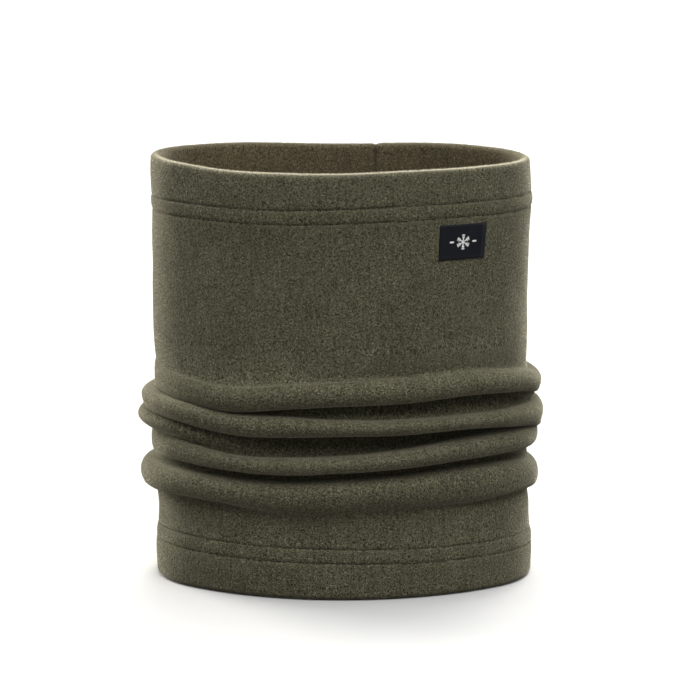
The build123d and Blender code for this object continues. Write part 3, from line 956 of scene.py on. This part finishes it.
def woven_label():
    """A black satin label with folded ends and a slightly raised border."""
    across = np.unique(np.concatenate([np.linspace(-1, 1, 21), [-0.985, -0.95, -0.9, 0.9, 0.95, 0.985]])) / 2
    up = np.unique(np.concatenate([np.linspace(-1, 1, 15), [-0.98, -0.93, 0.93, 0.98]])) / 2
    u, v = np.meshgrid(across * LABEL_WIDTH, up * LABEL_TALL)
    end = np.minimum(LABEL_WIDTH / 2 - abs(u), LABEL_TALL / 2 - abs(v))
    rounded = np.sqrt(np.clip(end / (0.4 * MM), 0, 1))
    folded = 0.22 * MM * (1 - smoothstep(2.2 * MM, 2.8 * MM, LABEL_WIDTH / 2 - abs(u)))
    border = 0.10 * MM * bell(end, 0.7 * MM, 0.4 * MM)
    lift = 0.12 * MM + (LABEL_THICK * 0.75 + folded) * rounded + border
    top, bottom = on_label(u, v, lift), on_label(u, v, np.full_like(u, -0.05 * MM))
    piece = slab("woven_label_satin", top[::-1], bottom[::-1], LABEL_SATIN, (LABEL_WIDTH, LABEL_TALL))
    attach(piece, UPPER)
    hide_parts("woven_label")


def in_mark(u, v):
    """Whether a place on the label belongs to its mark, a snow crystal between two bars."""
    for arm in range(6):
        turn = math.radians(60 * arm + 30)
        out, side = u * math.cos(turn) + v * math.sin(turn), -u * math.sin(turn) + v * math.cos(turn)
        if 0 <= out <= 3.7 * MM and abs(side) <= 0.34 * MM:
            return True
        for branch in (1.6 * MM, 2.6 * MM):
            ahead = out - branch
            if 0 <= ahead <= 0.95 * MM and abs(abs(side) - ahead * 0.9) <= 0.30 * MM:
                return True
    return math.hypot(u, v) < 0.8 * MM or (5.0 * MM <= abs(u) <= 7.5 * MM and abs(v) <= 0.4 * MM)


def woven_mark():
    """The mark as rows of short pale weft floats."""
    lines = []
    lift = np.array([0.50, 0.70, 0.74, 0.70, 0.50]) * MM
    for v in np.arange(-4.2 * MM, 4.2 * MM, MARK_PITCH):
        run = []
        for u in np.arange(-8 * MM, 8 * MM, MARK_STEP):
            if in_mark(u, v):
                run.append(u)
            elif run:
                if len(run) > 2:
                    lines.append(on_label(np.linspace(run[0], run[-1], 5), np.full(5, v), lift))
                run = []
    piece = tubes("label_mark_floats", lines, MARK_FLOAT_RADIUS, PALE_YARN, sides=5)
    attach(piece, UPPER)
    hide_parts("label_mark")


def label_stitches():
    """A row of stitches down each end of the label."""
    run = np.array([0, 0.1, 0.3, 0.7, 0.9, 1]) * (LABEL_STITCH - LABEL_STITCH_GAP)
    lift = np.array([0.45, 0.78, 0.92, 0.92, 0.78, 0.45]) * MM
    for side, node in ((-1, "label_left_stitching"), (1, "label_right_stitching")):
        u = np.full(6, side * (LABEL_WIDTH / 2 - 1.5 * MM))
        starts = np.arange(-LABEL_TALL / 2 + 1.2 * MM, LABEL_TALL / 2 - 1.5 * MM, LABEL_STITCH)
        paths = [on_label(u, start + run, lift) for start in starts]
        piece = tubes(node.replace("stitching", "stitches"), paths, LABEL_STITCH_RADIUS, LABEL_THREAD)
        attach(piece, UPPER)
        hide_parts(node)


woven_label()
woven_mark()
label_stitches()


# ---- the care label
def care_label():
    """A blank satin tape, folded in two, that hangs from the raw edge of the back seam."""
    low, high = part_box("care_label")
    width, far = high.x - low.x, 0.98 * (high.x - low.x)
    tape, steps = 0.2 * MM, 14
    across = np.concatenate([np.linspace(0, far, steps), far + np.array([0.5, 0.62, 0.5]) * MM,
                             np.linspace(far, 0, steps)])
    layer = np.concatenate([np.zeros(steps), [0.25, 0.55, 0.85], np.full(steps, 1.1)]) * MM
    curl = 3.2 * MM * smoothstep(2 * MM, width, across)
    start = SEAM - (ALLOWANCE_WIDTH - 1.2 * MM)
    heights = np.linspace(high.z, low.z, 15)

    def surface(shift):
        rows = panel.row_at(heights)[:, None]
        wave = 0.35 * MM * np.sin(heights / (5.5 * MM))[:, None]
        lift = 1.3 * MM + layer[None] + curl[None] * (1 + 0.25 * wave / MM) + shift
        return panel.at(start - across[None] + 0 * rows, rows + 0 * across[None], lift, back=True)

    turn = np.concatenate([np.ones(steps), [0.7, 0, -0.7], -np.ones(steps)]) * tape / 2
    piece = slab("care_label_tape", surface(-turn), surface(turn), CARE_SATIN, (2 * width, high.z - low.z))
    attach(piece, UPPER)
    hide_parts("care_label")


care_label()

# ---- floor, lights and camera
FLOOR_RADIUS, FLOOR_DROP = 14, 0.4 * MM
FLOOR_AS_LIGHT, FLOOR_AS_SEEN = (0.12, 0.12, 0.12), (0.40, 0.40, 0.398)
SKY_AS_LIGHT = 0.5


def build_stage():
    """A wide pale floor under a pale sky. Both look brighter to the camera than the light they give."""
    paint = Surface("pale_floor", Roughness=0.9)
    seen = paint.add("LightPath", "Is Camera Ray")
    material = paint.finish(paint.mix(seen, FLOOR_AS_LIGHT, FLOOR_AS_SEEN))
    bpy.ops.mesh.primitive_circle_add(vertices=64, radius=FLOOR_RADIUS, fill_type="NGON",
                                      location=(0, 0, -FLOOR_DROP))
    floor = bpy.context.object
    floor.name = "floor"
    floor.data.materials.append(material)
    world = bpy.data.worlds.new("pale_sky")
    world.use_nodes = True
    nodes, links = world.node_tree.nodes, world.node_tree.links
    soft, plain = nodes["Background"], nodes.new("ShaderNodeBackground")
    choice = nodes.new("ShaderNodeMixShader")
    soft.inputs["Color"].default_value = plain.inputs["Color"].default_value = (1, 1, 1, 1)
    soft.inputs["Strength"].default_value = SKY_AS_LIGHT
    links.new(nodes.new("ShaderNodeLightPath").outputs["Is Camera Ray"], choice.inputs["Fac"])
    links.new(soft.outputs["Background"], choice.inputs[1])
    links.new(plain.outputs["Background"], choice.inputs[2])
    links.new(choice.outputs["Shader"], nodes["World Output"].inputs["Surface"])
    bpy.context.scene.world = world


# Name, azimuth (0 is the front and 90 the right), elevation, brightness, spread in degrees, colour.
SOFT_SUNS = (
    ("key", 16, 54, 1.0, 40, (1, 1, 1)),
    ("top", 160, 78, 0.80, 40, (1, 1, 1)),
    ("back", 172, 30, 0.60, 35, (1, 0.98, 0.92)),
    ("left_edge", -132, 14, 2.45, 34, (1, 0.97, 0.88)),
    ("right_edge", 151, 14, 1.2, 34, (1, 0.97, 0.88)),
)


def soft_sun(name, azimuth, elevation, brightness, spread, colour):
    """A distant softbox, by its direction from the object."""
    data = bpy.data.lights.new(name, "SUN")
    data.energy, data.angle, data.color = brightness * math.pi, math.radians(spread), colour
    light = bpy.data.objects.new(name, data)
    turn, up = math.radians(azimuth), math.radians(elevation)
    towards = Vector((math.sin(turn) * math.cos(up), -math.cos(turn) * math.cos(up), math.sin(up)))
    light.rotation_euler = towards.to_track_quat("Z", "Y").to_euler()
    bpy.context.collection.objects.link(light)


CAMERA_DISTANCE, CAMERA_TILT, AIM_HEIGHT = 1.5, math.radians(10.57), 0.105
SENSOR_WIDTH, FOCAL_SHARE = 36, 2987.6 / 700
CAMERA_SHIFT = (0.0122, 0.0400)


def build_camera():
    """The camera, a little above the rim, with its aim and framing."""
    data = bpy.data.cameras.new("camera")
    data.sensor_width = SENSOR_WIDTH
    data.lens = SENSOR_WIDTH * FOCAL_SHARE
    data.shift_x, data.shift_y = CAMERA_SHIFT
    camera = bpy.data.objects.new("camera", data)
    camera.location = (0, -CAMERA_DISTANCE * math.cos(CAMERA_TILT),
                       AIM_HEIGHT + CAMERA_DISTANCE * math.sin(CAMERA_TILT))
    camera.rotation_euler = (math.pi / 2 - CAMERA_TILT, 0, 0)
    bpy.context.collection.objects.link(camera)
    bpy.context.scene.camera = camera


build_stage()
for sun in SOFT_SUNS:
    soft_sun(*sun)
build_camera()
bpy.context.scene.view_settings.view_transform = "Standard"
